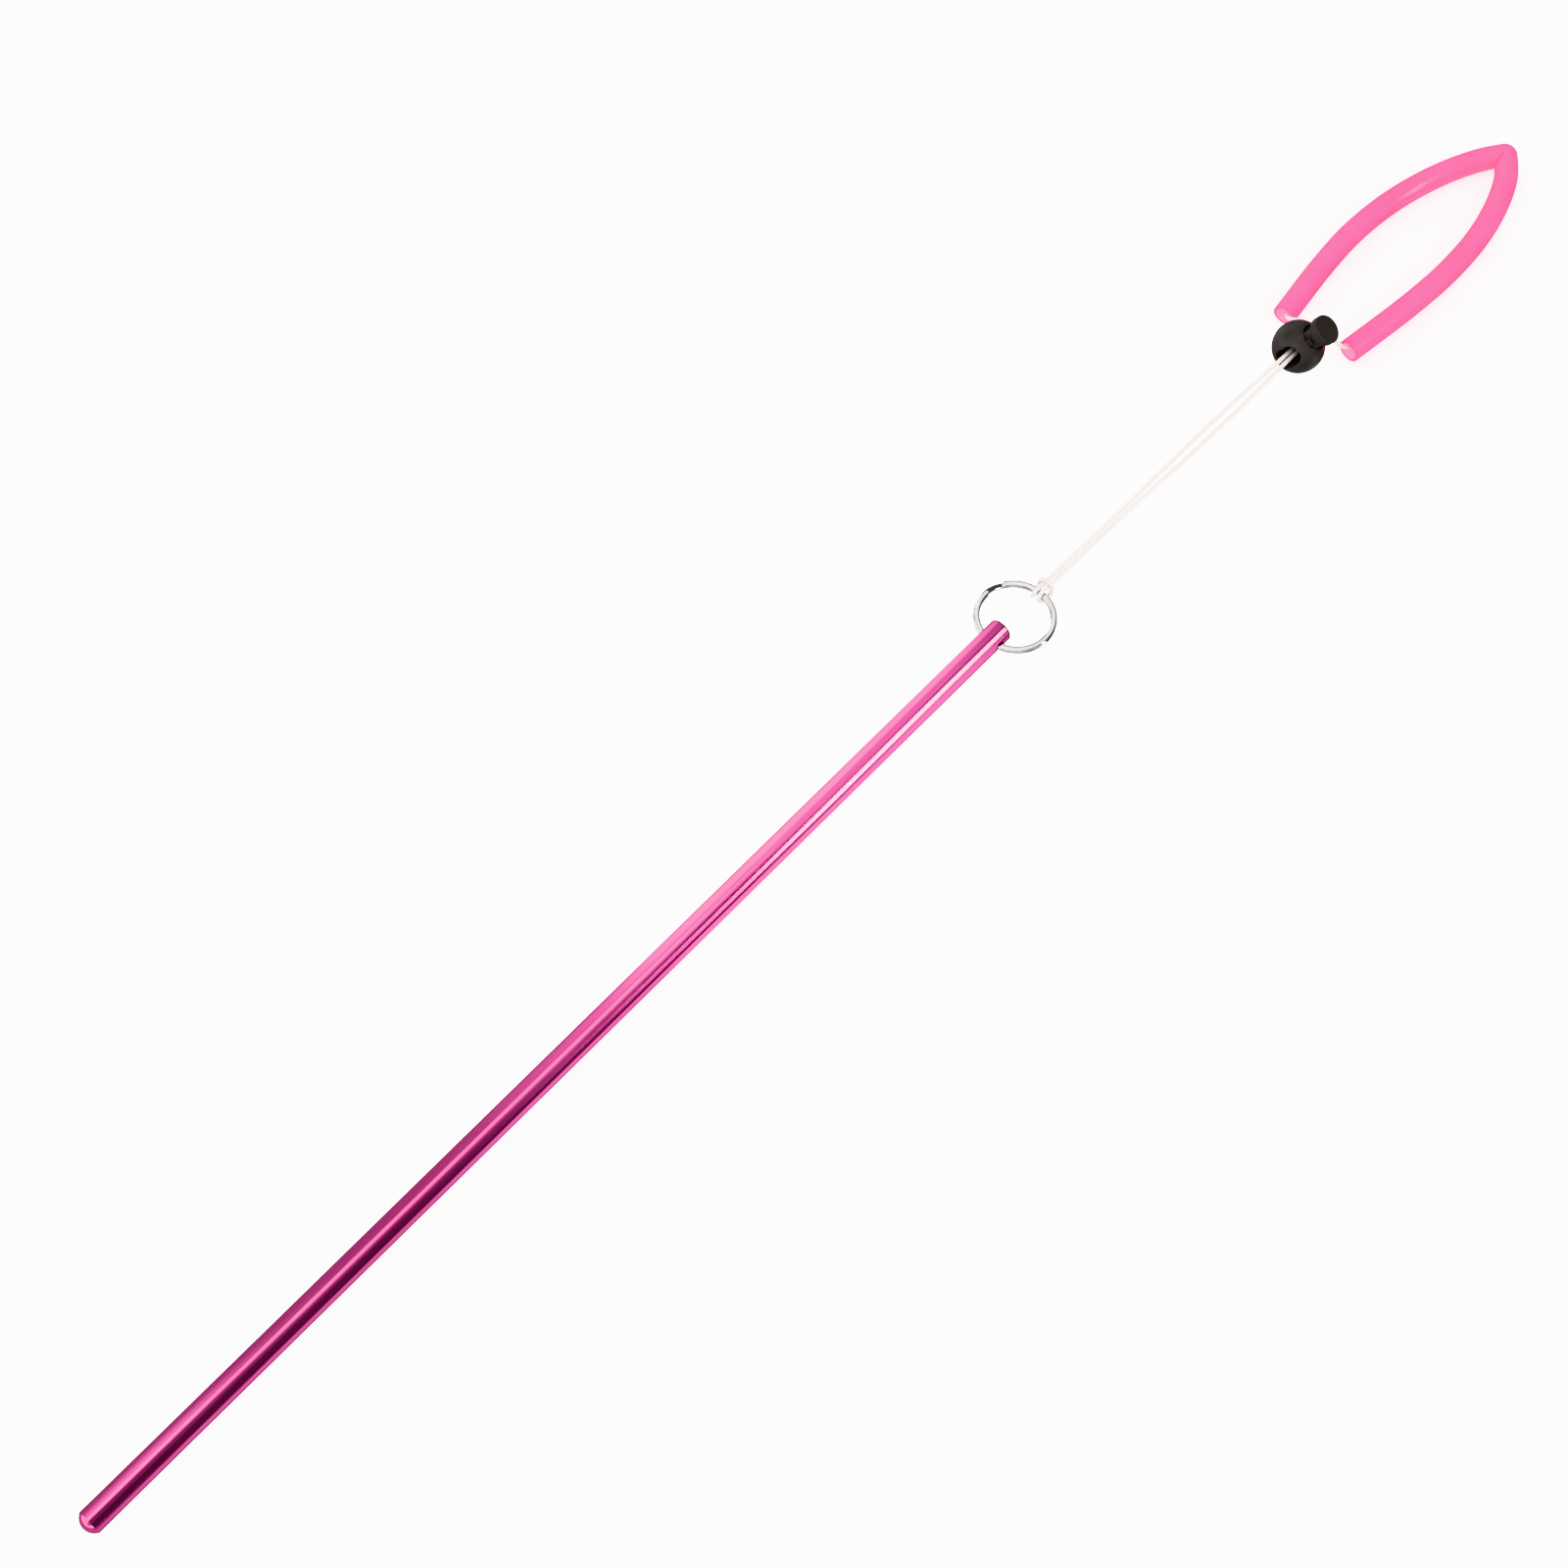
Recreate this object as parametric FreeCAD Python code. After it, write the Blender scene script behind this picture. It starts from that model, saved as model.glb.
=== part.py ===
import FreeCAD, Part
import math
import os

# Diver's pointer stick: a solid anodised rod with a split key ring through its upper end,
# a clear cord hitched on the ring, a ball cord lock on the cord, and a soft tube round the
# cord's far bight as a wrist loop.
#
# Frame: millimetres, +Z up, the stick lying on the plane Z = 0 with its tip towards -X and
# its ring towards +X. The origin is the middle of the footprint of rod and ring.

Vector = FreeCAD.Vector

# Rod
ROD_DIAMETER = 8.0
ROD_LENGTH = 387.0
ROD_NOSE_HEIGHT = 2.4
ROD_END_ROUND = 0.8
HOLE_DIAMETER = 3.5
HOLE_FROM_END = 5.5
HOLE_BREAK = 0.25

# Split ring: one flat wire wound in two turns
RING_OUTER_DIAMETER = 27.0
RING_WIRE_WIDTH = 2.0
RING_WIRE_HEIGHT = 0.88
RING_TURN_GAP = 0.04
RING_WIRE_ROUND = 0.35
RING_CROSSOVER_START = 60.0
RING_CROSSOVER_SPAN = 26.0
RING_WIRE_DROP = 0.35
RING_FAR_HEIGHT = 2.60

# Cord and its hitch on the ring
CORD_DIAMETER = 1.5

# Ball cord lock, in its own frame: X along the cord bore, Z along the plunger
LOCK_CENTRE_X = 148.0
LOCK_CENTRE_Y = -3.7
LOCK_BALL_DIAMETER = 18.0
LOCK_ROLL = 28.0
LOCK_PITCH = 18.0
LOCK_BORE_WIDTH = 7.0
LOCK_BORE_HEIGHT = 9.6
LOCK_MOUTH_ROUND = 0.45
LOCK_PLUNGER_BORE = 9.0
LOCK_PLUNGER_FLOOR = -5.85
LOCK_SPRING_POCKET = 5.4
LOCK_SPRING_FLOOR = -7.4
LOCK_CORD_HEIGHT = 0.95

# Plunger
STEM_DIAMETER = 8.8
STEM_LENGTH_X = 7.2
STEM_WIDTH_Y = 6.9
STEM_BOTTOM = -2.55
STEM_SLOT_WIDTH = 5.2
STEM_SLOT_BOTTOM = -1.42
STEM_SLOT_TOP = 6.45
KEY_WIDTH = 2.2
HEAD_BOTTOM = 11.05
HEAD_TOP = 14.7
HEAD_DIAMETER = 10.2
HEAD_NECK_DIAMETER = 8.4
HEAD_FLARE = 1.2
HEAD_ROUND = 0.45
HEAD_DISH = 0.25

# Plunger spring
SPRING_WIRE = 0.35
SPRING_DIAMETER = 4.55
SPRING_TURNS = 3.5

# Wrist tube
TUBE_OUTER_DIAMETER = 8.2
TUBE_INNER_DIAMETER = 6.2

# Knot that closes the cord, inside the wrist tube
KNOT_DIAMETER = 3.9
KNOT_LENGTH = 6.5

# Worked-out places
ROD_RADIUS = ROD_DIAMETER / 2
RING_MEAN_RADIUS = (RING_OUTER_DIAMETER - RING_WIRE_WIDTH) / 2
# The wire bends inside the rod, so it is centred between the hole's middle and its mouths.
RING_WIRE_SAG = RING_MEAN_RADIUS - math.sqrt(RING_MEAN_RADIUS**2 - ROD_RADIUS**2)
RING_NEAR_HEIGHT = ROD_RADIUS - RING_WIRE_DROP
RING_TILT = math.asin((RING_NEAR_HEIGHT - RING_FAR_HEIGHT) / (2 * RING_MEAN_RADIUS))
RING_OFFSET = (RING_MEAN_RADIUS - RING_WIRE_SAG / 2) * math.cos(RING_TILT) - HOLE_FROM_END
RING_REACH = RING_OFFSET + RING_OUTER_DIAMETER / 2 * math.cos(RING_TILT)
ROD_END_X = (ROD_LENGTH - RING_REACH) / 2
ROD_TIP_X = ROD_END_X - ROD_LENGTH
CORD_RADIUS = CORD_DIAMETER / 2
TUBE_AXIS_HEIGHT = TUBE_OUTER_DIAMETER / 2
CORD_IN_TUBE_HEIGHT = TUBE_AXIS_HEIGHT - TUBE_INNER_DIAMETER / 2 + CORD_RADIUS + 0.1

# Middle line of the wrist tube in plan, from its left end round the kink to its right end;
# x is counted from the rod's upper end.
TUBE_ROUTE = [
    (158.3, 9.3),
    (170.0, 10.9),
    (184.0, 12.7),
    (202.0, 13.9),
    (222.0, 12.2),
    (241.0, 7.4),
    (255.5, 1.3),
    (264.0, -4.3),
    (263.4, -10.0),
    (253.5, -14.2),
    (234.0, -19.4),
    (212.0, -21.0),
    (192.0, -19.7),
    (176.0, -17.75),
    (161.4, -15.8),
]

# Half of the hitch, from the middle of its bar down round the ring's wire to the strand:
# u outward from the wire's middle, v sideways, w up.
HITCH_HALF = [
    (2.90, 0.05, 3.45),
    (2.90, 2.50, 3.40),
    (2.32, 2.50, -1.80),
    (-2.12, 1.60, -1.82),
    (-2.12, 0.90, 1.87),
    (3.45, 0.85, 1.87),
]

# Strand pair: distance along the slide axis from the lock's centre, towards the tube, and
# half the spacing of the two strands.
STRAND_STATIONS = [
    (-108.0, 0.85),
    (-84.0, 0.82),
    (-60.0, 1.45),
    (-29.0, 1.50),
    (-12.0, 0.84),
]

# Cord between the lock's rear mouth and the wrist tube, one list for each side;
# x is counted from the rod's upper end.
LEFT_EXIT = [
    (154.6, -3.2, 10.35),
    (158.3, 0.6, 9.1),
    (156.6, 8.6, 4.7),
    (163.6, 9.9, 3.0),
    (172.5, 11.3, 2.15),
]
RIGHT_EXIT = [
    (156.2, -5.1, 9.7),
    (159.0, -9.7, 7.9),
    (160.1, -14.4, 5.4),
    (165.6, -16.2, 3.1),
    (174.5, -17.5, 2.15),
]


def from_end(x, y, z):
    """A point whose x is counted from the rod's upper end."""
    return Vector(ROD_END_X + x, y, z)


def unit(v):
    return Vector(v).normalize()


def turn_at(a, b, c):
    """Angle by which a route turns at its point b, in radians."""
    return (b - a).getAngle(c - b)


def rounded_path(points, name):
    """Straight runs joined by tangent arcs, each as large as its two runs allow."""
    edges = []
    start = points[0]
    tightest = None
    for before, corner, after in zip(points, points[1:], points[2:]):
        into = unit(corner - before)
        out = unit(after - corner)
        turn = turn_at(before, corner, after)
        cut = 0.45 * min((corner - before).Length, (after - corner).Length)
        radius = cut / math.tan(turn / 2)
        print(f"{name}: turn {math.degrees(turn):5.1f} deg, radius {radius:7.2f} mm")
        tightest = radius if tightest is None else min(tightest, radius)
        first = corner - into * cut
        last = corner + out * cut
        towards = unit(out - into)
        middle = corner + towards * (radius / math.cos(turn / 2) - radius)
        edges.append(Part.LineSegment(start, first).toShape())
        edges.append(Part.Arc(first, middle, last).toShape())
        start = last
    edges.append(Part.LineSegment(start, points[-1]).toShape())
    print(f"{name}: tightest radius {tightest:.2f} mm")
    return Part.Wire(edges)


def swept(path, radius):
    """Round solid along a path."""
    first = path.Edges[0]
    heading = first.tangentAt(first.FirstParameter)
    profile = Part.Wire(Part.makeCircle(radius, first.valueAt(first.FirstParameter), heading))
    return path.makePipeShell([profile], True, False)


def check_sweep(name, solid, path, area):
    print(f"{name}: length {path.Length:.1f} mm, volume {solid.Volume:.1f} mm3,"
          f" section x length {area * path.Length:.1f} mm3, valid {solid.isValid()}")


def revolved(points, axis):
    """Solid turned about an axis through zero, from a closed outline of points and arcs."""
    edges = []
    last = None
    for item in points:
        if isinstance(item, Vector):
            if last is not None:
                edges.append(Part.LineSegment(last, item).toShape())
            last = item
        else:
            edges.append(item)
            last = item.valueAt(item.LastParameter)
    face = Part.Face(Part.Wire(edges))
    return face.revolve(Vector(0, 0, 0), axis, 360)


def arc_edge(a, b, c):
    return Part.Arc(a, b, c).toShape()


def make_rod():
    """Solid round bar along X: shallow domed tip, rounded upper end, cross hole along Y."""
    r = ROD_RADIUS
    dome_radius = (r**2 + ROD_NOSE_HEIGHT**2) / (2 * ROD_NOSE_HEIGHT)
    half = math.asin(r / dome_radius) / 2
    dome_middle = Vector(dome_radius * (1 - math.cos(half)), 0, dome_radius * math.sin(half))
    rim = Vector(ROD_NOSE_HEIGHT, 0, r)
    shoulder = Vector(ROD_LENGTH - ROD_END_ROUND, 0, r)
    corner = ROD_END_ROUND * math.sqrt(0.5)
    corner_middle = Vector(
        ROD_LENGTH - ROD_END_ROUND + corner, 0, r - ROD_END_ROUND + corner)
    face_edge = Vector(ROD_LENGTH, 0, r - ROD_END_ROUND)
    outline = [
        arc_edge(Vector(0, 0, 0), dome_middle, rim),
        shoulder,
        arc_edge(shoulder, corner_middle, face_edge),
        Vector(ROD_LENGTH, 0, 0),
        Vector(0, 0, 0),
    ]
    rod = revolved(outline, Vector(1, 0, 0))
    rod.translate(Vector(ROD_TIP_X, 0, r))

    hole_x = ROD_END_X - HOLE_FROM_END
    hole_r = HOLE_DIAMETER / 2
    hole = Part.makeCylinder(
        hole_r, 2 * ROD_DIAMETER, Vector(hole_x, -ROD_DIAMETER, r), Vector(0, 1, 0))
    rod = rod.cut(hole)
    mouths = [
        edge for edge in rod.Edges
        if edge.BoundBox.XLength < HOLE_DIAMETER + 0.5
        and abs(edge.BoundBox.Center.x - hole_x) < 0.1
        and edge.BoundBox.YLength < ROD_RADIUS
        and edge.Length > HOLE_DIAMETER
    ]
    return rod.makeChamfer(HOLE_BREAK, mouths)


def ring_section(angle, height):
    """Rounded rectangle of the flat wire at an angle round the ring, as a wire."""
    half_w = RING_WIRE_WIDTH / 2
    half_h = RING_WIRE_HEIGHT / 2
    c = RING_WIRE_ROUND
    turn = math.radians(angle)
    outward = Vector(math.cos(turn), math.sin(turn), 0)
    up = Vector(0, 0, 1)
    middle = outward * RING_MEAN_RADIUS + up * height

    def at(u, w):
        return middle + outward * u + up * w

    bend = c * (1 - math.sqrt(0.5))
    edges = []
    corners = [(1, 1), (-1, 1), (-1, -1), (1, -1)]
    starts = []
    ends = []
    for su, sw in corners:
        flat_side = at(su * half_w, sw * (half_h - c))
        flat_top = at(su * (half_w - c), sw * half_h)
        knee = at(su * (half_w - bend), sw * (half_h - bend))
        first, last = (flat_side, flat_top) if su * sw > 0 else (flat_top, flat_side)
        starts.append(first)
        ends.append(last)
        edges.append(arc_edge(first, knee, last))
    for i in range(4):
        edges.append(Part.LineSegment(ends[i], starts[(i + 1) % 4]).toShape())
    return Part.Wire(Part.__sortEdges__(edges))


def make_split_ring():
    """Two stacked turns of flat wire joined by one sloping crossover."""
    level = (RING_WIRE_HEIGHT + RING_TURN_GAP) / 2
    start = RING_CROSSOVER_START
    end = start + RING_CROSSOVER_SPAN
    free_gap = 2.0
    axis = Vector(0, 0, 1)

    upper = Part.Face(ring_section(end, level)).revolve(
        Vector(0, 0, 0), axis, 360.0 - RING_CROSSOVER_SPAN - free_gap)
    lower = Part.Face(ring_section(start, -level)).revolve(
        Vector(0, 0, 0), axis, -(360.0 - RING_CROSSOVER_SPAN - free_gap))

    # The crossover climbs from the lower turn's start to the upper turn's start.
    pitch = 2 * level * 360.0 / RING_CROSSOVER_SPAN
    helix = Part.makeHelix(pitch, 2 * level, RING_MEAN_RADIUS)
    helix.rotate(Vector(0, 0, 0), axis, start)
    helix.translate(Vector(0, 0, -level))
    sweep = Part.BRepOffsetAPI.MakePipeShell(Part.Wire(helix))
    sweep.setBiNormalMode(axis)
    sweep.add(ring_section(start, -level), False, False)
    sweep.build()
    sweep.makeSolid()
    crossover = sweep.shape()

    ring = upper.fuse([crossover, lower]).removeSplitter()
    ring = ring.Solids[0]
    ring.rotate(Vector(0, 0, 0), Vector(0, 1, 0), math.degrees(RING_TILT))
    ring.translate(ring_centre())
    return ring


def ring_centre():
    sunk = (RING_MEAN_RADIUS - RING_WIRE_SAG / 2) * math.sin(RING_TILT)
    return from_end(RING_OFFSET, 0, RING_NEAR_HEIGHT - sunk)


def ring_far_point(u, v, w):
    """A point near the ring's far side: u outward from the wire, v sideways, w up."""
    outward = Vector(math.cos(RING_TILT), 0, -math.sin(RING_TILT))
    up = Vector(math.sin(RING_TILT), 0, math.cos(RING_TILT))
    return ring_centre() + outward * (RING_MEAN_RADIUS + u) + Vector(0, v, 0) + up * w


def lock_frame():
    """Slide direction away from the ring, and the lock's own X, Y and Z directions."""
    hitch = ring_far_point(HITCH_HALF[-1][0], 0, HITCH_HALF[-1][2])
    centre = from_end(LOCK_CENTRE_X, LOCK_CENTRE_Y, LOCK_BALL_DIAMETER / 2)
    along = unit(centre - hitch)
    roll = math.radians(LOCK_ROLL)
    pitch = math.radians(LOCK_PITCH)
    for _ in range(4):
        level = unit(Vector(0, 0, 1).cross(along))
        upright = along.cross(level)
        rolled = upright * math.cos(roll) - level * math.sin(roll)
        plunger = rolled * math.cos(pitch) + along * math.sin(pitch)
        bore = along * math.cos(pitch) - rolled * math.sin(pitch)
        # The cord crosses the bore above the ball's centre, so the slide axis aims there.
        along = unit(centre + plunger * LOCK_CORD_HEIGHT - hitch)
    return centre, along, bore, plunger.cross(bore), plunger


def place_lock_piece(shape):
    centre, _, bore, _, plunger = lock_frame()
    turn = FreeCAD.Rotation(bore, Vector(0, 0, 0), plunger, "ZXY")
    shape.Placement = FreeCAD.Placement(centre, turn)
    return shape


def obround(width, height, length):
    """Bar along X with an upright rounded-end section."""
    r = width / 2
    rise = height / 2 - r
    low = Part.makeCylinder(r, length, Vector(-length / 2, 0, -rise), Vector(1, 0, 0))
    high = Part.makeCylinder(r, length, Vector(-length / 2, 0, rise), Vector(1, 0, 0))
    middle = Part.makeBox(length, width, 2 * rise, Vector(-length / 2, -r, -rise))
    return low.fuse([high, middle]).removeSplitter()


def make_lock_body():
    """Ball with a tall cord bore along X and a stepped plunger bore along Z."""
    radius = LOCK_BALL_DIAMETER / 2
    ball = Part.makeSphere(radius, Vector(0, 0, 0), Vector(0, 0, 1), -90, 90, 360)
    ball = ball.cut(obround(LOCK_BORE_WIDTH, LOCK_BORE_HEIGHT, 3 * radius))
    mouths = [
        edge for edge in ball.Edges
        if abs(edge.BoundBox.Center.x) > radius / 2 and edge.BoundBox.XLength < 2.5
    ]
    ball = ball.makeFillet(LOCK_MOUTH_ROUND, mouths)
    well = Part.makeCylinder(
        LOCK_PLUNGER_BORE / 2, 2 * radius, Vector(0, 0, LOCK_PLUNGER_FLOOR))
    pocket = Part.makeCylinder(
        LOCK_SPRING_POCKET / 2, radius, Vector(0, 0, LOCK_SPRING_FLOOR))
    return ball.cut(well.fuse(pocket))


def make_plunger():
    """Slotted stem with two guide keys, under a flared round head."""
    stem_height = HEAD_BOTTOM - STEM_BOTTOM + 0.5
    guide = Part.makeCylinder(STEM_DIAMETER / 2, stem_height, Vector(0, 0, STEM_BOTTOM))
    core = Part.makeBox(
        STEM_LENGTH_X, STEM_WIDTH_Y, stem_height,
        Vector(-STEM_LENGTH_X / 2, -STEM_WIDTH_Y / 2, STEM_BOTTOM))
    keys = Part.makeBox(
        STEM_DIAMETER, KEY_WIDTH, HEAD_BOTTOM - STEM_BOTTOM - 1.6,
        Vector(-STEM_DIAMETER / 2, -KEY_WIDTH / 2, STEM_BOTTOM))
    stem = guide.common(core.fuse(keys))
    slot = Part.makeBox(
        2 * STEM_DIAMETER, STEM_SLOT_WIDTH, STEM_SLOT_TOP - STEM_SLOT_BOTTOM,
        Vector(-STEM_DIAMETER, -STEM_SLOT_WIDTH / 2, STEM_SLOT_BOTTOM))
    stem = stem.cut(slot)

    r = HEAD_DIAMETER / 2
    neck = HEAD_NECK_DIAMETER / 2
    turn = HEAD_ROUND * (1 - math.sqrt(0.5))
    flare_top = Vector(r, 0, HEAD_BOTTOM + HEAD_FLARE)
    side_top = Vector(r, 0, HEAD_TOP - HEAD_ROUND)
    face_rim = Vector(r - HEAD_ROUND, 0, HEAD_TOP)
    knee = Vector(r - turn, 0, HEAD_TOP - turn)
    dish_radius = ((r - HEAD_ROUND)**2 + HEAD_DISH**2) / (2 * HEAD_DISH)
    half = math.asin((r - HEAD_ROUND) / dish_radius) / 2
    dish_middle = Vector(
        dish_radius * math.sin(half), 0,
        HEAD_TOP - HEAD_DISH + dish_radius * (1 - math.cos(half)))
    face_middle = Vector(0, 0, HEAD_TOP - HEAD_DISH)
    flare_middle = Vector(
        (neck + r) / 2 + 0.15 * HEAD_FLARE, 0, HEAD_BOTTOM + 0.40 * HEAD_FLARE)
    outline = [
        Vector(0, 0, HEAD_BOTTOM),
        Vector(neck, 0, HEAD_BOTTOM),
        arc_edge(Vector(neck, 0, HEAD_BOTTOM), flare_middle, flare_top),
        side_top,
        arc_edge(side_top, knee, face_rim),
        arc_edge(face_rim, dish_middle, face_middle),
        Vector(0, 0, HEAD_BOTTOM),
    ]
    head = revolved(outline, Vector(0, 0, 1))
    return stem.fuse(head).removeSplitter()


def make_spring():
    """Round-wire compression spring between the pocket's floor and the stem."""
    mean = (SPRING_DIAMETER - SPRING_WIRE) / 2
    low = LOCK_SPRING_FLOOR + SPRING_WIRE / 2 + 0.05
    high = STEM_BOTTOM - SPRING_WIRE / 2 - 0.05
    pitch = (high - low) / SPRING_TURNS
    helix = Part.Wire(Part.makeHelix(pitch, high - low, mean))
    helix.translate(Vector(0, 0, low))
    profile = Part.Wire(Part.makeCircle(
        SPRING_WIRE / 2, Vector(mean, 0, low), Vector(0, mean, pitch / (2 * math.pi))))
    spring = helix.makePipeShell([profile], True, True)
    check_sweep("cord_lock_spring", spring, helix, math.pi * (SPRING_WIRE / 2) ** 2)
    return spring


def strand_points(side):
    """One strand from the hitch to the lock; side is +1 for the left strand."""
    centre, along, _, across, plunger = lock_frame()
    crossing = centre + plunger * LOCK_CORD_HEIGHT
    return [crossing + along * s + across * (side * half) for s, half in STRAND_STATIONS]


def cord_route():
    """Whole cord: hitch, left strand, lock, wrist tube, lock, right strand, hitch."""
    left_hitch = [ring_far_point(u, v, w) for u, v, w in HITCH_HALF]
    right_hitch = [ring_far_point(u, -v, w) for u, v, w in HITCH_HALF]
    left = left_hitch + strand_points(1) + [from_end(*p) for p in LEFT_EXIT]
    right = right_hitch + strand_points(-1) + [from_end(*p) for p in RIGHT_EXIT]
    inside = [from_end(x, y, CORD_IN_TUBE_HEIGHT) for x, y in TUBE_ROUTE[2:-2]]
    return left + inside + right[::-1]


def make_cord():
    path = rounded_path(cord_route(), "cord")
    cord = swept(path, CORD_RADIUS)
    check_sweep("cord", cord, path, math.pi * CORD_RADIUS**2)
    return cord


def make_wrist_tube():
    """Soft sleeve along the tube's middle line, open at both ends."""
    points = [from_end(x, y, TUBE_AXIS_HEIGHT) for x, y in TUBE_ROUTE]
    path = rounded_path(points, "wrist_tube")
    outside = swept(path, TUBE_OUTER_DIAMETER / 2)
    inside = swept(path, TUBE_INNER_DIAMETER / 2)
    tube = outside.cut(inside)
    area = math.pi * (TUBE_OUTER_DIAMETER**2 - TUBE_INNER_DIAMETER**2) / 4
    check_sweep("wrist_tube", tube, path, area)
    return tube


def make_knot(cord):
    """Tight knot round the cord in the left limb of the wrist tube."""
    r = KNOT_DIAMETER / 2
    height = TUBE_AXIS_HEIGHT - TUBE_INNER_DIAMETER / 2 + r + 0.1
    before = from_end(*TUBE_ROUTE[3], height)
    after = from_end(*TUBE_ROUTE[4], height)
    middle = (before + after) * 0.5
    heading = unit(after - before)
    half = KNOT_LENGTH / 2
    end_r = 0.55 * r
    outline = [
        Vector(-half, 0, 0),
        Vector(-half, 0, end_r),
        arc_edge(Vector(-half, 0, end_r), Vector(0, 0, r), Vector(half, 0, end_r)),
        Vector(half, 0, 0),
        Vector(-half, 0, 0),
    ]
    knot = revolved(outline, Vector(1, 0, 0))
    turn = FreeCAD.Rotation(Vector(1, 0, 0), heading)
    knot.Placement = FreeCAD.Placement(middle, turn)
    return knot.cut(cord)


def main():
    os.makedirs("parts", exist_ok=True)
    cord = make_cord()
    nodes = {
        "rod": make_rod(),
        "split_ring": make_split_ring(),
        "cord": cord,
        "cord_knot": make_knot(cord),
        "cord_lock_body": place_lock_piece(make_lock_body()),
        "cord_lock_plunger": place_lock_piece(make_plunger()),
        "cord_lock_spring": place_lock_piece(make_spring()),
        "wrist_tube": make_wrist_tube(),
    }
    for name, shape in nodes.items():
        box = shape.BoundBox
        print(f"{name}: {len(shape.Solids)} solid, valid {shape.isValid()},"
              f" {shape.Volume:.1f} mm3, x {box.XMin:.2f} {box.XMax:.2f},"
              f" y {box.YMin:.2f} {box.YMax:.2f}, z {box.ZMin:.2f} {box.ZMax:.2f}")
        shape.Solids[0].exportStep(f"parts/{name}.step")
    centre, along, bore, across, plunger = lock_frame()
    print("lock centre", centre, "slide", along, "bore", bore, "plunger", plunger)
    print("ring centre", ring_centre(), "tilt", math.degrees(RING_TILT))


main()
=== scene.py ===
import math

import bpy
import numpy as np
from mathutils import Matrix, Vector


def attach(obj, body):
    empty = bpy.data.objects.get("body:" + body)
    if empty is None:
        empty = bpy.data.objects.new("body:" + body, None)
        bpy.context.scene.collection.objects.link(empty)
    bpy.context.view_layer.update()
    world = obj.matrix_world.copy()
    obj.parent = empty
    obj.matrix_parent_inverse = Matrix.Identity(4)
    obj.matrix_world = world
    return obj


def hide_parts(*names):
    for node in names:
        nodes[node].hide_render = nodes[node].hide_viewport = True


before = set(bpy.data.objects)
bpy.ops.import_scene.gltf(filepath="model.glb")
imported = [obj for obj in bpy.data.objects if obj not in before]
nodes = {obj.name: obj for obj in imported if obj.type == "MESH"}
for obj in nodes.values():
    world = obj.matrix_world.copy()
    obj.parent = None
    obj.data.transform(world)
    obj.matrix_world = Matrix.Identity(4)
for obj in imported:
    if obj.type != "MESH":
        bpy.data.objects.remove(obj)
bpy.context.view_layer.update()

# ---------------------------------------------------------------- camera

CAMERA_PLACE = Vector((-0.19264, -0.2517, 0.7805))
CAMERA_AHEAD = Vector((0.33102, 0.30507, -0.89295))
CAMERA_RIGHT = Vector((0.67746, -0.73556, 0.0))
CAMERA_LENS = 64.125

camera_data = bpy.data.cameras.new("camera")
camera_data.lens = CAMERA_LENS
camera_data.sensor_width = 36.0
camera_data.clip_start = 0.01
camera_data.clip_end = 50.0
camera = bpy.data.objects.new("camera", camera_data)
bpy.context.scene.collection.objects.link(camera)
ahead = CAMERA_AHEAD.normalized()
right = (CAMERA_RIGHT - ahead * CAMERA_RIGHT.dot(ahead)).normalized()
up = right.cross(ahead)
camera.matrix_world = Matrix((
    (right.x, up.x, -ahead.x, CAMERA_PLACE.x),
    (right.y, up.y, -ahead.y, CAMERA_PLACE.y),
    (right.z, up.z, -ahead.z, CAMERA_PLACE.z),
    (0, 0, 0, 1),
))
bpy.context.scene.camera = camera

# ---------------------------------------------------------------- cord

CORD_DIAMETER = 0.0015
CORD_RESOLUTION = 12
CORD_ROUTE = [
    (0.20562, 0.00005, 0.00594),
    (0.20562, 0.00250, 0.00589),
    (0.20482, 0.00250, 0.00072),
    (0.20038, 0.00160, 0.00088),
    (0.20054, 0.00090, 0.00457),
    (0.20610, 0.00085, 0.00434),
    (0.22384, 0.00017, 0.00551),
    (0.24780, -0.00065, 0.00654),
    (0.27177, -0.00088, 0.00788),
    (0.30273, -0.00185, 0.00925),
    (0.31970, -0.00300, 0.00968),
    (0.33803, -0.00320, 0.01035),
    (0.34173, 0.00060, 0.00910),
    (0.34003, 0.00860, 0.00470),
    (0.34703, 0.00990, 0.00300),
    (0.35593, 0.01130, 0.00215),
    (0.36743, 0.01270, 0.00185),
    (0.38543, 0.01390, 0.00185),
    (0.40543, 0.01220, 0.00185),
    (0.42443, 0.00740, 0.00185),
    (0.43893, 0.00130, 0.00185),
    (0.44743, -0.00430, 0.00185),
    (0.44683, -0.01000, 0.00185),
    (0.43693, -0.01420, 0.00185),
    (0.41743, -0.01940, 0.00185),
    (0.39543, -0.02100, 0.00185),
    (0.37543, -0.01970, 0.00185),
    (0.35793, -0.01750, 0.00215),
    (0.34903, -0.01620, 0.00310),
    (0.34353, -0.01440, 0.00540),
    (0.34243, -0.00970, 0.00790),
    (0.33963, -0.00510, 0.00970),
    (0.31968, -0.00448, 0.00889),
    (0.30270, -0.00450, 0.00784),
    (0.27175, -0.00344, 0.00652),
    (0.24779, -0.00210, 0.00577),
    (0.22382, -0.00133, 0.00471),
    (0.20610, -0.00085, 0.00434),
    (0.20054, -0.00090, 0.00457),
    (0.20038, -0.00160, 0.00088),
    (0.20482, -0.00250, 0.00072),
    (0.20562, -0.00250, 0.00589),
    (0.20562, -0.00005, 0.00594),
]
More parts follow.
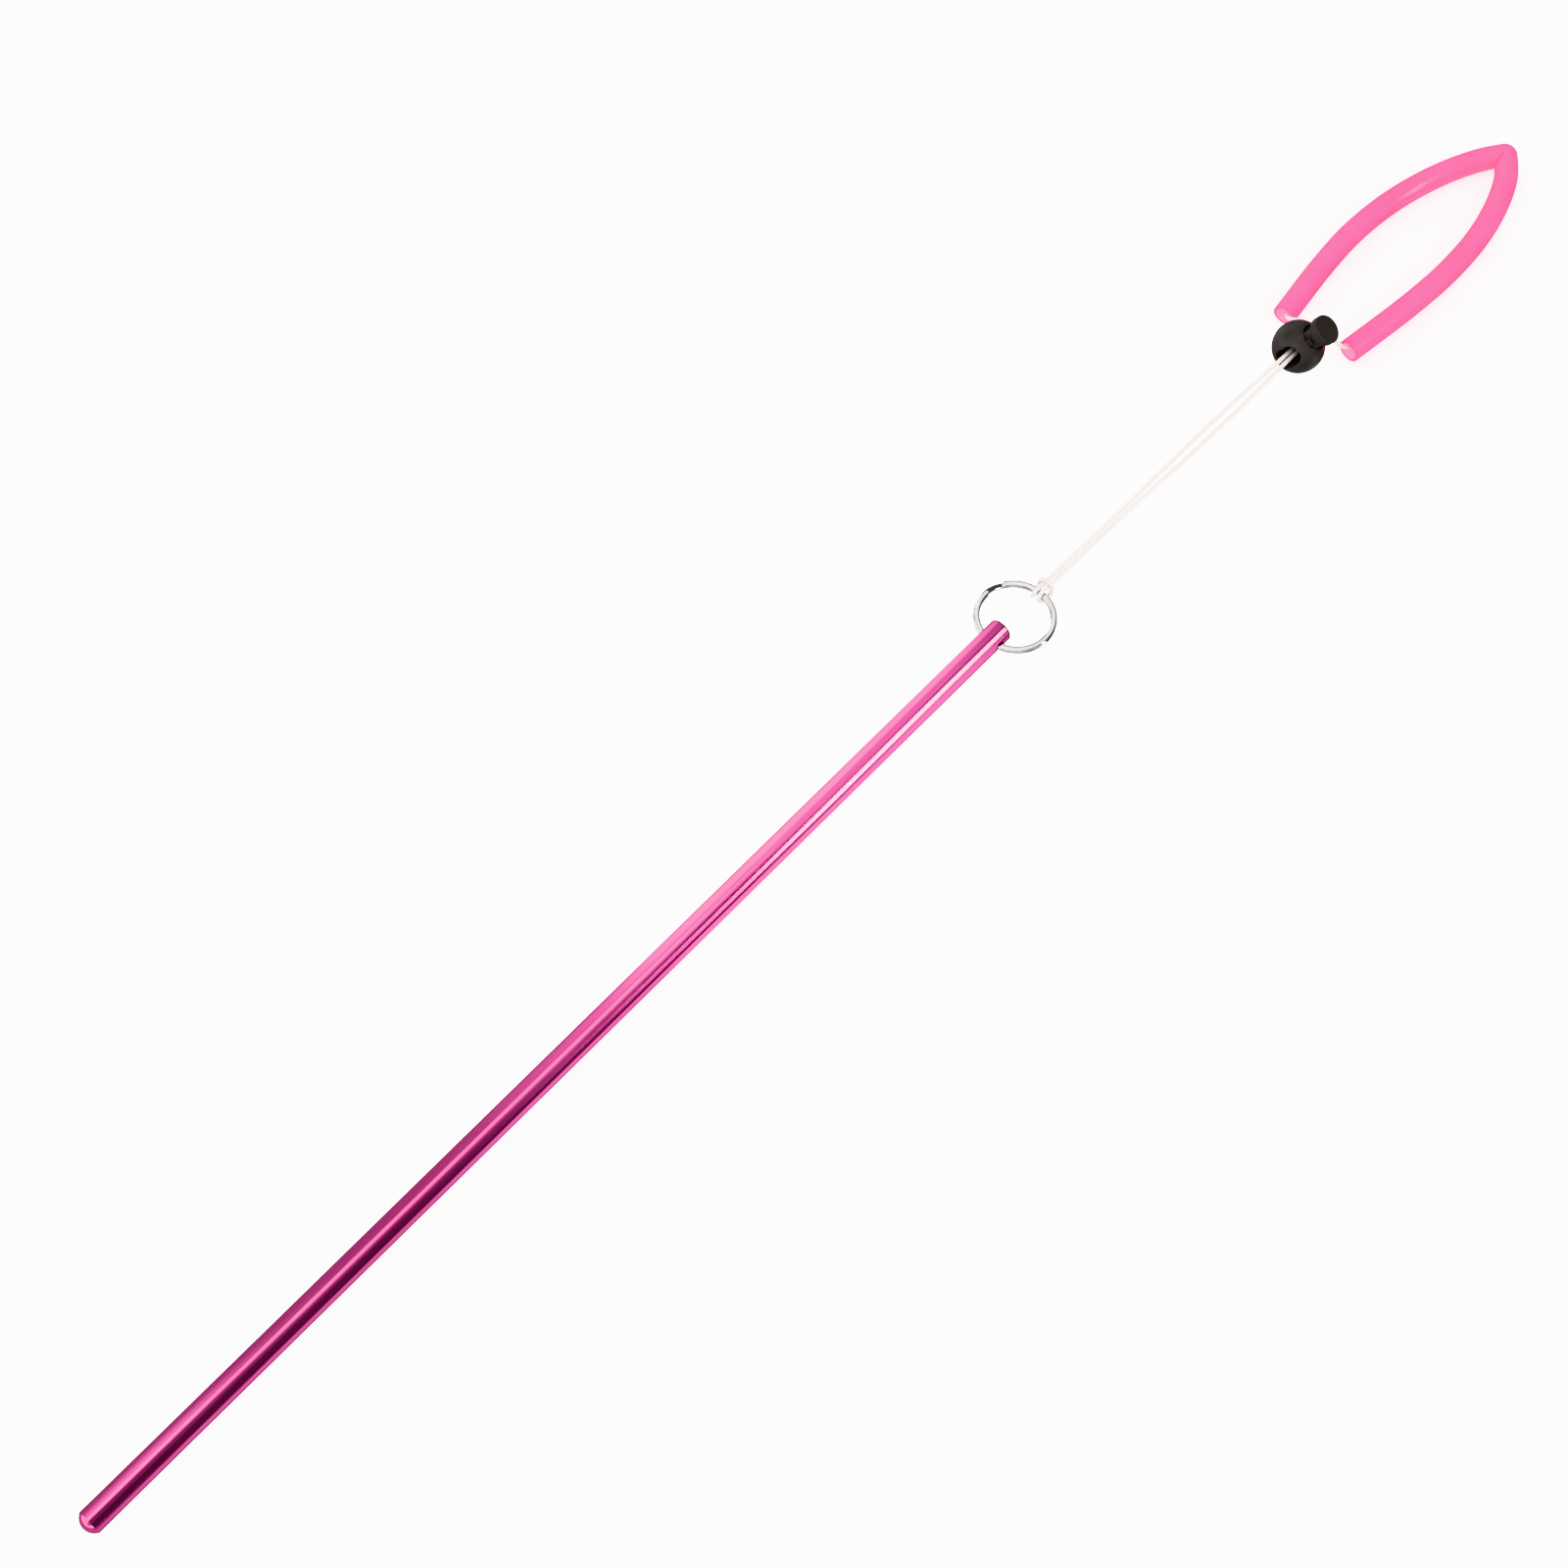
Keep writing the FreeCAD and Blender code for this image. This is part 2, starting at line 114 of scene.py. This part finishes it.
TUBE_ROUTE = [
    (0.34173, 0.00930, 0.00410),
    (0.35343, 0.01090, 0.00410),
    (0.36743, 0.01270, 0.00410),
    (0.38543, 0.01390, 0.00410),
    (0.40543, 0.01220, 0.00410),
    (0.42443, 0.00740, 0.00410),
    (0.43893, 0.00130, 0.00410),
    (0.44746, -0.00420, 0.00410),
    (0.44886, -0.00525, 0.00410),
    (0.44766, -0.00650, 0.00410),
    (0.43786, -0.01335, 0.00410),
    (0.41743, -0.01940, 0.00410),
    (0.39543, -0.02100, 0.00410),
    (0.37543, -0.01970, 0.00410),
    (0.35943, -0.01775, 0.00410),
    (0.34483, -0.01580, 0.00410),
]
TUBE_KINK = 8


def nurbs(name, route, bevel, resolution):
    """A smooth open curve that has the route's points as its control points."""
    data = bpy.data.curves.new(name, "CURVE")
    data.dimensions = "3D"
    data.resolution_u = resolution
    data.bevel_depth = bevel
    data.bevel_resolution = 6
    data.use_fill_caps = True
    spline = data.splines.new("NURBS")
    spline.points.add(len(route) - 1)
    for point, place in zip(spline.points, route):
        point.co = (*place, 1.0)
    spline.order_u = 3
    spline.use_endpoint_u = True
    obj = bpy.data.objects.new(name, data)
    bpy.context.scene.collection.objects.link(obj)
    return obj


def line_of(route, resolution):
    """The points of a route's smooth line, and how far along it each one is."""
    bare = nurbs("bare_line", route, 0.0, resolution)
    mesh = bpy.data.meshes.new_from_object(bare)
    points = np.array([v.co for v in mesh.vertices], float)
    data = bare.data
    bpy.data.objects.remove(bare)
    bpy.data.curves.remove(data)
    bpy.data.meshes.remove(mesh)
    along = np.concatenate([[0], np.cumsum(np.linalg.norm(np.diff(points, axis=0), axis=1))])
    return points, along


cord = nurbs("cord_line", CORD_ROUTE, CORD_DIAMETER / 2, CORD_RESOLUTION)


# ---------------------------------------------------------------- mesh helpers

def mesh_object(name, vertices, faces, smooth=True):
    mesh = bpy.data.meshes.new(name)
    mesh.from_pydata([tuple(v) for v in vertices], [], faces)
    mesh.update()
    if smooth:
        mesh.polygons.foreach_set("use_smooth", [True] * len(mesh.polygons))
    obj = bpy.data.objects.new(name, mesh)
    bpy.context.scene.collection.objects.link(obj)
    return obj


def resampled(points, along, stations):
    return np.stack([np.interp(stations, along, points[:, k]) for k in range(3)], axis=1)


# ---------------------------------------------------------------- wrist tube

TUBE_OUTER = 0.0041
TUBE_INNER = 0.0031
TUBE_SIDES = 64
TUBE_STEP = 0.0012           # between its cross-sections, away from the fold
TUBE_END_ROUNDING = 0.00015
FOLD_REACH = 0.0045          # how far along the tube the fold pinches it
FOLD_FLATTENING = 0.12
FOLD_NARROWING = 0.06
FOLD_GAP = 0.00006           # half the slit between the two folded sides
FINE_REACH = 0.010
FINE_SECTIONS = 81


def unit(vector):
    return vector / np.linalg.norm(vector)


def build_wrist_tube():
    """Soft sleeve: inner and outer walls along the route, folded over itself at its kink."""
    points, along = line_of(TUBE_ROUTE, 24)
    kink_place = np.array(TUBE_ROUTE[TUBE_KINK])
    kink = along[np.argmin(np.linalg.norm(points - kink_place, axis=1))]
    before = unit(kink_place - np.array(TUBE_ROUTE[TUBE_KINK - 2]))
    after = unit(np.array(TUBE_ROUTE[TUBE_KINK + 2]) - kink_place)
    fold_normal = unit(before + after)
    coarse = np.arange(0, along[-1], TUBE_STEP)
    fine = kink + np.linspace(-FINE_REACH, FINE_REACH, FINE_SECTIONS)
    stations = np.unique(np.concatenate([
        coarse[(coarse < fine[0]) | (coarse > fine[-1])], fine, [along[-1]]]))
    centres = resampled(points, along, stations)
    heading = np.gradient(centres, stations, axis=0)
    heading /= np.linalg.norm(heading, axis=1)[:, None]
    outward = np.stack([-heading[:, 1], heading[:, 0], np.zeros(len(stations))], axis=1)
    angles = np.arange(TUBE_SIDES) * 2 * math.pi / TUBE_SIDES
    cos, sin = np.cos(angles), np.sin(angles)

    def wall(radius, gap):
        rings = []
        for centre, out, station in zip(centres, outward, stations):
            away = station - kink
            pinch = math.exp(-(away / FOLD_REACH) ** 2)
            sag = 1 - FOLD_FLATTENING * pinch * np.clip(-cos, 0, 1)
            narrowed = 1 - FOLD_NARROWING * pinch * (cos > 0)
            ring = (centre + np.outer(radius * cos * narrowed, out)
                    + np.outer(radius * sin * sag, (0, 0, 1)))
            # no part of either side crosses the fold's plane
            past = (ring - kink_place) @ fold_normal
            limit = np.minimum(past, -gap) if away < 0 else np.maximum(past, gap)
            rings.append(ring + np.outer(limit - past, fold_normal))
        return np.concatenate(rings)

    outer = wall(TUBE_OUTER, FOLD_GAP)
    inner = wall(TUBE_INNER, FOLD_GAP + (TUBE_OUTER - TUBE_INNER) / 2)
    count, n = len(stations), TUBE_SIDES
    bore = count * n
    last = (count - 1) * n
    faces = []
    for i in range(count - 1):
        for k in range(n):
            a, b = i * n + k, i * n + (k + 1) % n
            faces.append((b, a, a + n, b + n))
            faces.append((bore + a, bore + b, bore + b + n, bore + a + n))
    for a in range(n):
        b = (a + 1) % n
        faces.append((a, b, bore + b, bore + a))
        faces.append((last + b, last + a, bore + last + a, bore + last + b))
    tube = mesh_object("wrist_sleeve", np.concatenate([outer, inner]), faces)
    bevel = tube.modifiers.new("end_rounding", "BEVEL")
    bevel.width = TUBE_END_ROUNDING
    bevel.segments = 2
    bevel.limit_method = "ANGLE"
    bevel.angle_limit = math.radians(70)
    return tube, centres


wrist_sleeve, tube_path = build_wrist_tube()

# ---------------------------------------------------------------- knot

KNOT_PLACE = 0.3960          # where it lies along X
KNOT_TURNS = 4
KNOT_STEPS = 8               # route points in each turn
KNOT_RADIUS = 0.00118
KNOT_PITCH = 0.00122
KNOT_WRAP_RADIUS = 0.00058
KNOT_LIFT = 0.00028          # the turns' centre stands a little over the cord's
KNOT_TAIL = 0.0016
KNOT_TAIL_ASIDE = 0.0001


def build_knot():
    """Barrel knot: the cord's tail wound round the standing cord in four tight turns."""
    points = line_of(CORD_ROUTE, CORD_RESOLUTION)[0]
    left = points[: len(points) // 2]
    at = int(np.argmin(np.abs(left[:, 0] - KNOT_PLACE)))
    middle = left[at]
    heading = left[at + 3] - left[at - 3]
    heading /= np.linalg.norm(heading)
    side = np.cross((0, 0, 1), heading)
    side /= np.linalg.norm(side)
    upward = np.cross(heading, side)
    route = []
    for i in range(KNOT_TURNS * KNOT_STEPS + 1):
        turn = 2 * math.pi * i / KNOT_STEPS
        x = (i / (KNOT_TURNS * KNOT_STEPS) - 0.5) * KNOT_TURNS * KNOT_PITCH
        route.append(middle + heading * x
                     + side * (KNOT_RADIUS * math.cos(turn))
                     + upward * (KNOT_RADIUS * math.sin(turn) + KNOT_LIFT))
    start = route[0] - heading * KNOT_TAIL + side * KNOT_TAIL_ASIDE
    end = route[-1] + heading * KNOT_TAIL + side * KNOT_TAIL_ASIDE
    knot = nurbs("knot_wraps", [start] + route + [end], KNOT_WRAP_RADIUS, 6)
    mesh = bpy.data.meshes.new_from_object(knot)
    bpy.data.objects.remove(knot)
    made = bpy.data.objects.new("cord_wraps", mesh)
    bpy.context.scene.collection.objects.link(made)
    mesh.polygons.foreach_set("use_smooth", [True] * len(mesh.polygons))
    return made


cord_wraps = build_knot()


# ---------------------------------------------------------------- materials

def new_material(name):
    material = bpy.data.materials.new(name)
    material.use_nodes = True
    tree = material.node_tree
    return material, tree, tree.nodes["Principled BSDF"]


def add(tree, kind, **settings):
    node = tree.nodes.new(kind)
    for key, value in settings.items():
        setattr(node, key, value)
    return node


def stretched_noise(tree, scale, stretch, detail=3.0, rough=0.55):
    """Noise in the object's own coordinates, drawn out by a different amount on each axis."""
    where = add(tree, "ShaderNodeTexCoord")
    mapping = add(tree, "ShaderNodeMapping")
    mapping.inputs["Scale"].default_value = stretch
    noise = add(tree, "ShaderNodeTexNoise")
    noise.inputs["Scale"].default_value = scale
    noise.inputs["Detail"].default_value = detail
    noise.inputs["Roughness"].default_value = rough
    tree.links.new(where.outputs["Object"], mapping.inputs["Vector"])
    tree.links.new(mapping.outputs["Vector"], noise.inputs["Vector"])
    return noise


def ramp(tree, source, stops):
    node = add(tree, "ShaderNodeValToRGB")
    elements = node.color_ramp.elements
    while len(elements) < len(stops):
        elements.new(0.5)
    for element, (place, colour) in zip(elements, stops):
        element.position = place
        element.color = (*colour, 1.0)
    tree.links.new(source, node.inputs["Fac"])
    return node


def mapped(tree, source, low, high):
    node = add(tree, "ShaderNodeMapRange")
    node.inputs["To Min"].default_value = low
    node.inputs["To Max"].default_value = high
    tree.links.new(source, node.inputs["Value"])
    return node.outputs["Result"]


def bumped(tree, shader, source, distance):
    bump = add(tree, "ShaderNodeBump")
    bump.inputs["Distance"].default_value = distance
    tree.links.new(source, bump.inputs["Height"])
    tree.links.new(bump.outputs["Normal"], shader.inputs["Normal"])
    return bump


def anodised_pink():
    """Dyed anodised aluminium with the faint lines of a drawn bar."""
    material, tree, shader = new_material("anodised_pink")
    shader.inputs["Metallic"].default_value = 1.0
    lines = stretched_noise(tree, 1.0, (6.0, 2600.0, 2600.0), 2.0)
    cloud = stretched_noise(tree, 45.0, (1.0, 4.0, 4.0), 4.0)
    tint = ramp(tree, cloud.outputs["Fac"], [
        (0.30, (0.87, 0.130, 0.41)), (0.70, (0.93, 0.155, 0.46))])
    tree.links.new(tint.outputs["Color"], shader.inputs["Base Color"])
    tree.links.new(mapped(tree, lines.outputs["Fac"], 0.08, 0.16), shader.inputs["Roughness"])
    shader.inputs["Specular Tint"].default_value = (0.86, 0.56, 0.70, 1)
    bumped(tree, shader, lines.outputs["Fac"], 0.0000015)
    shader.inputs["Coat Weight"].default_value = 0.18
    shader.inputs["Coat Roughness"].default_value = 0.08
    shader.inputs["Coat IOR"].default_value = 1.6
    return material


RING_EDGE_ROUNDING = 0.00075   # how far in from its corners the wire looks rolled


def nickel():
    """Nickel-plated spring steel, polished, with rolled edges and fine rubbed hairlines."""
    material, tree, shader = new_material("nickel_plate")
    shader.inputs["Metallic"].default_value = 1.0
    rub = stretched_noise(tree, 900.0, (1.0, 1.0, 6.0), 3.0)
    tone = ramp(tree, rub.outputs["Fac"], [
        (0.25, (0.72, 0.715, 0.705)), (0.75, (0.82, 0.815, 0.805))])
    tree.links.new(tone.outputs["Color"], shader.inputs["Base Color"])
    tree.links.new(mapped(tree, rub.outputs["Fac"], 0.04, 0.12), shader.inputs["Roughness"])
    bump = bumped(tree, shader, rub.outputs["Fac"], 0.000002)
    rounded = add(tree, "ShaderNodeBevel", samples=6)
    rounded.inputs["Radius"].default_value = RING_EDGE_ROUNDING
    tree.links.new(rounded.outputs["Normal"], bump.inputs["Normal"])
    return material


def clear_cord():
    """Clear flexible plastic cord with a milky haze, so it is never quite invisible."""
    material, tree, shader = new_material("clear_cord")
    haze = stretched_noise(tree, 700.0, (1.0, 1.0, 1.0), 3.0)
    tone = ramp(tree, haze.outputs["Fac"], [
        (0.30, (0.62, 0.560, 0.540)), (0.70, (0.70, 0.655, 0.635))])
    tree.links.new(tone.outputs["Color"], shader.inputs["Base Color"])
    shader.inputs["Transmission Weight"].default_value = 0.35
    shader.inputs["IOR"].default_value = 1.45
    tree.links.new(mapped(tree, haze.outputs["Fac"], 0.08, 0.20), shader.inputs["Roughness"])
    bumped(tree, shader, haze.outputs["Fac"], 0.000004)
    return material


def moulded_black(name, lift):
    """Black moulded nylon with a fine spark-eroded grain; lift scales how pale it is."""
    material, tree, shader = new_material(name)
    grain = stretched_noise(tree, 5200.0, (1.0, 1.0, 1.0), 4.0, 0.6)
    cloud = stretched_noise(tree, 160.0, (1.0, 1.0, 1.0), 3.0)
    tone = ramp(tree, cloud.outputs["Fac"], [
        (0.30, (0.0190 * lift, 0.0165 * lift, 0.0155 * lift)),
        (0.70, (0.0270 * lift, 0.0240 * lift, 0.0225 * lift))])
    tree.links.new(tone.outputs["Color"], shader.inputs["Base Color"])
    tree.links.new(mapped(tree, cloud.outputs["Fac"], 0.36, 0.48), shader.inputs["Roughness"])
    shader.inputs["Specular IOR Level"].default_value = 0.14
    bumped(tree, shader, grain.outputs["Fac"], 0.000008)
    return material


def spring_steel():
    """Drawn spring wire, grey, with lines along it."""
    material, tree, shader = new_material("spring_steel")
    shader.inputs["Metallic"].default_value = 1.0
    lines = stretched_noise(tree, 2500.0, (1.0, 1.0, 3.0), 2.0)
    tone = ramp(tree, lines.outputs["Fac"], [
        (0.3, (0.42, 0.42, 0.42)), (0.7, (0.58, 0.57, 0.55))])
    tree.links.new(tone.outputs["Color"], shader.inputs["Base Color"])
    tree.links.new(mapped(tree, lines.outputs["Fac"], 0.22, 0.36), shader.inputs["Roughness"])
    return material


def soft_tube(name, thin, thick, painted_glow_strength=0.0):
    """Translucent dyed soft tube: light passes through the wall and scatters in it; it can also
    carry a painted glow by emission.
    """
    material, tree, shader = new_material(name)
    cloud = stretched_noise(tree, 60.0, (1.0, 1.0, 1.0), 3.0)
    tone = ramp(tree, cloud.outputs["Fac"], [(0.30, thick), (0.70, thin)])
    tree.links.new(tone.outputs["Color"], shader.inputs["Base Color"])
    tree.links.new(mapped(tree, cloud.outputs["Fac"], 0.30, 0.42), shader.inputs["Roughness"])
    shader.inputs["Specular IOR Level"].default_value = 0.18
    shader.inputs["Coat Weight"].default_value = 0.7
    shader.inputs["Coat Roughness"].default_value = 0.12
    # Emission in the tube's own tint paints a glow on it; it is zero unless a strength is given,
    # and only the bore gets one.
    shader.inputs["Emission Strength"].default_value = painted_glow_strength
    tree.links.new(tone.outputs["Color"], shader.inputs["Emission Color"])
    grain = stretched_noise(tree, 1400.0, (1.0, 1.0, 1.0), 3.0)
    bumped(tree, shader, grain.outputs["Fac"], 0.000004)
    glow = add(tree, "ShaderNodeBsdfTranslucent")
    tree.links.new(tone.outputs["Color"], glow.inputs["Color"])
    blend = add(tree, "ShaderNodeMixShader")
    blend.inputs["Fac"].default_value = 0.50
    output = tree.nodes["Material Output"]
    tree.links.new(shader.outputs["BSDF"], blend.inputs[1])
    tree.links.new(glow.outputs["BSDF"], blend.inputs[2])
    tree.links.new(blend.outputs["Shader"], output.inputs["Surface"])
    return material


def dress(obj, material):
    obj.data.materials.clear()
    obj.data.materials.append(material)


def dress_bore(tube, material):
    """The inner wall, made from the second half of the tube's vertices, gets its own material."""
    tube.data.materials.append(material)
    half = len(tube.data.vertices) // 2
    for face in tube.data.polygons:
        if min(face.vertices) >= half:
            face.material_index = 1


BORE_PAINTED_GLOW = 0.9   # painted glow: emission that stands in for the light that the wall lets into the bore

cord_plastic = clear_cord()
dress(nodes["rod"], anodised_pink())
dress(nodes["split_ring"], nickel())
dress(nodes["cord_lock_body"], moulded_black("lock_ball_black", 1.15))
dress(nodes["cord_lock_plunger"], moulded_black("lock_plunger_black", 1.0))
dress(nodes["cord_lock_spring"], spring_steel())
dress(cord, cord_plastic)
dress(cord_wraps, cord_plastic)
dress(wrist_sleeve, soft_tube("soft_pink_tube", (0.93, 0.092, 0.49), (0.88, 0.074, 0.43)))
# The bore's material carries the painted glow.
dress_bore(wrist_sleeve,
           soft_tube("soft_pink_bore", (1.00, 0.56, 0.78), (0.98, 0.50, 0.74), BORE_PAINTED_GLOW))

# ---------------------------------------------------------------- what rides on what

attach(cord, "lanyard")
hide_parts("cord")
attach(cord_wraps, "lanyard")
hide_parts("cord_knot")
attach(wrist_sleeve, "lanyard")
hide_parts("wrist_tube")

# ---------------------------------------------------------------- floor and light

FLOOR_HALF = 6.0
FLOOR_DROP = 0.00002         # keeps it clear of what rests on it


def build_floor():
    """A pale table that glows evenly and stays out of mirror reflections."""
    floor = mesh_object("floor", [
        (-FLOOR_HALF, -FLOOR_HALF, 0), (FLOOR_HALF, -FLOOR_HALF, 0),
        (FLOOR_HALF, FLOOR_HALF, 0), (-FLOOR_HALF, FLOOR_HALF, 0)], [(0, 1, 2, 3)], False)
    floor.location.z = -FLOOR_DROP
    material, tree, shader = new_material("pale_floor")
    shader.inputs["Base Color"].default_value = (0.40, 0.40, 0.40, 1)
    shader.inputs["Roughness"].default_value = 0.9
    shader.inputs["Specular IOR Level"].default_value = 0.0
    shader.inputs["Emission Color"].default_value = (1, 1, 1, 1)
    shader.inputs["Emission Strength"].default_value = 2.2
    dress(floor, material)
    floor.visible_glossy = False


build_floor()


# Each light has a strength, then where its direction lies along X (the rod's own line) as
# from, to and soft edge, and then where it stands about X, in degrees from straight up
# towards +Y, in the same way.
LIGHTS = [
    # a dim wall on the far side of the rod, brighter towards its upper end
    (0.34, (-0.03, 0.26, 0.03), (14, 200, 6)),
    (0.40, (-0.03, 0.05, 0.03), (18, 74, 14)),
    (0.65, (-0.03, 0.045, 0.02), (10, 48, 9)),
    (0.35, (0.185, 0.26, 0.02), (-8, 110, 12)),
    (1.00, (0.25, 0.414, 0.008), (-22, 170, 4)),
    (1.80, (0.25, 0.414, 0.008), (33, 106, 8)),
    # a narrow strip right over the rod
    (1.90, (-0.03, 0.30, 0.03), (-6, 12, 5)),
    (2.60, (-0.03, 0.035, 0.02), (3, 27, 5)),
    (0.65, (0.06, 0.26, 0.02), (-18, 0, 4)),
    # on the near side of the rod
    (0.20, (-0.03, 0.26, 0.03), (-36, -14, 6)),
    (0.26, (0.19, 0.26, 0.02), (-74, -14, 8)),
    (1.00, (0.25, 0.33, 0.02), (-76, -44, 5)),
    (0.32, (0.31, 0.414, 0.008), (-100, -14, 5)),
    (28.0, (0.325, 0.414, 0.008), (-72, -46, 4)),
    (0.55, (0.37, 0.414, 0.008), (-110, -76, 6)),
    # light coming back up from the table
    (0.75, (-0.03, 0.26, 0.03), (-150, -100, 5)),
    (0.25, (-0.03, 0.26, 0.03), (-200, -150, 5)),
    (0.35, (0.17, 0.26, 0.03), (-160, -104, 5)),
    (1.75, (0.26, 0.414, 0.008), (-165, -98, 5)),
    # over the ring and the cord lock
    (1.00, (0.43, 0.60, 0.02), (-2, 8, 2)),
    (0.03, (0.414, 2.0, 0.008), (-90, 90, 10)),
    # a panel low behind the rod's tip
    (1.60, (-2.0, -0.35, 0.18), (0, 85, 20)),
    (0.50, (-2.0, -0.30, 0.12), (-400, 400, 5)),
]
ROOM = 0.09
PALE_HORIZON = 2.2
# The lights turn about X by LEAN degrees as their directions pass from LEAN_FROM to LEAN_TO.
LEAN_FROM, LEAN_TO, LEAN = 0.335, 0.41, 17.0


def build_world():
    """Studio light by direction."""
    world = bpy.data.worlds.new("studio")
    bpy.context.scene.world = world
    world.use_nodes = True
    tree = world.node_tree
    background = tree.nodes["Background"]
    where = add(tree, "ShaderNodeTexCoord")
    split = add(tree, "ShaderNodeSeparateXYZ")
    tree.links.new(where.outputs["Generated"], split.inputs["Vector"])

    def math_node(kind, a, b=None):
        node = add(tree, "ShaderNodeMath", operation=kind)
        for socket, value in zip(node.inputs, (a, b)):
            if isinstance(value, (int, float)):
                socket.default_value = value
            elif value is not None:
                tree.links.new(value, socket)
        return node.outputs[0]

    def step(value, low, high, first=0.0, last=1.0):
        node = add(tree, "ShaderNodeMapRange", interpolation_type="SMOOTHSTEP")
        node.inputs["From Min"].default_value = low
        node.inputs["From Max"].default_value = high
        node.inputs["To Min"].default_value = first
        node.inputs["To Max"].default_value = last
        tree.links.new(value, node.inputs["Value"])
        return node.outputs["Result"]

    def window(value, low, high, soft):
        rise = step(value, low - soft, low + soft)
        fall = step(value, high - soft, high + soft)
        return math_node("SUBTRACT", rise, fall)

    along = split.outputs["X"]
    turn = math_node("ARCTAN2", split.outputs["Y"], split.outputs["Z"])
    turn = math_node("MULTIPLY", turn, 180 / math.pi)
    turn = math_node("SUBTRACT", turn, step(along, LEAN_FROM, LEAN_TO, 0.0, LEAN))
    total = math_node("ADD", ROOM, 0.0)
    for strength, over, about in LIGHTS:
        light = math_node("MULTIPLY", window(along, *over), window(turn, *about))
        total = math_node("ADD", total, math_node("MULTIPLY", light, strength))
    pale = math_node("MULTIPLY", window(split.outputs["Z"], -0.10, 0.12, 0.05), PALE_HORIZON)
    away = window(along, -0.04, 2.0, 0.01)
    pale = math_node("MULTIPLY", pale, math_node("SUBTRACT", 1.0, away))
    tree.links.new(math_node("ADD", total, pale), background.inputs["Strength"])
    background.inputs["Color"].default_value = (1.0, 1.0, 1.0, 1.0)


build_world()


def area_light(name, place, target, size, power):
    """A square lamp that lights surfaces without showing in mirror reflections."""
    data = bpy.data.lights.new(name, "AREA")
    data.shape = "SQUARE"
    data.size = size
    data.energy = power
    obj = bpy.data.objects.new(name, data)
    obj.location = place
    obj.rotation_euler = (Vector(target) - Vector(place)).to_track_quat("-Z", "Y").to_euler()
    obj.visible_glossy = False
    bpy.context.scene.collection.objects.link(obj)


area_light("soft_top", (0.1, 0.1, 2.2), (0.1, 0.0, 0.0), 2.0, 110.0)

bpy.context.scene.view_settings.view_transform = "Khronos PBR Neutral"
bpy.context.scene.view_settings.look = "None"
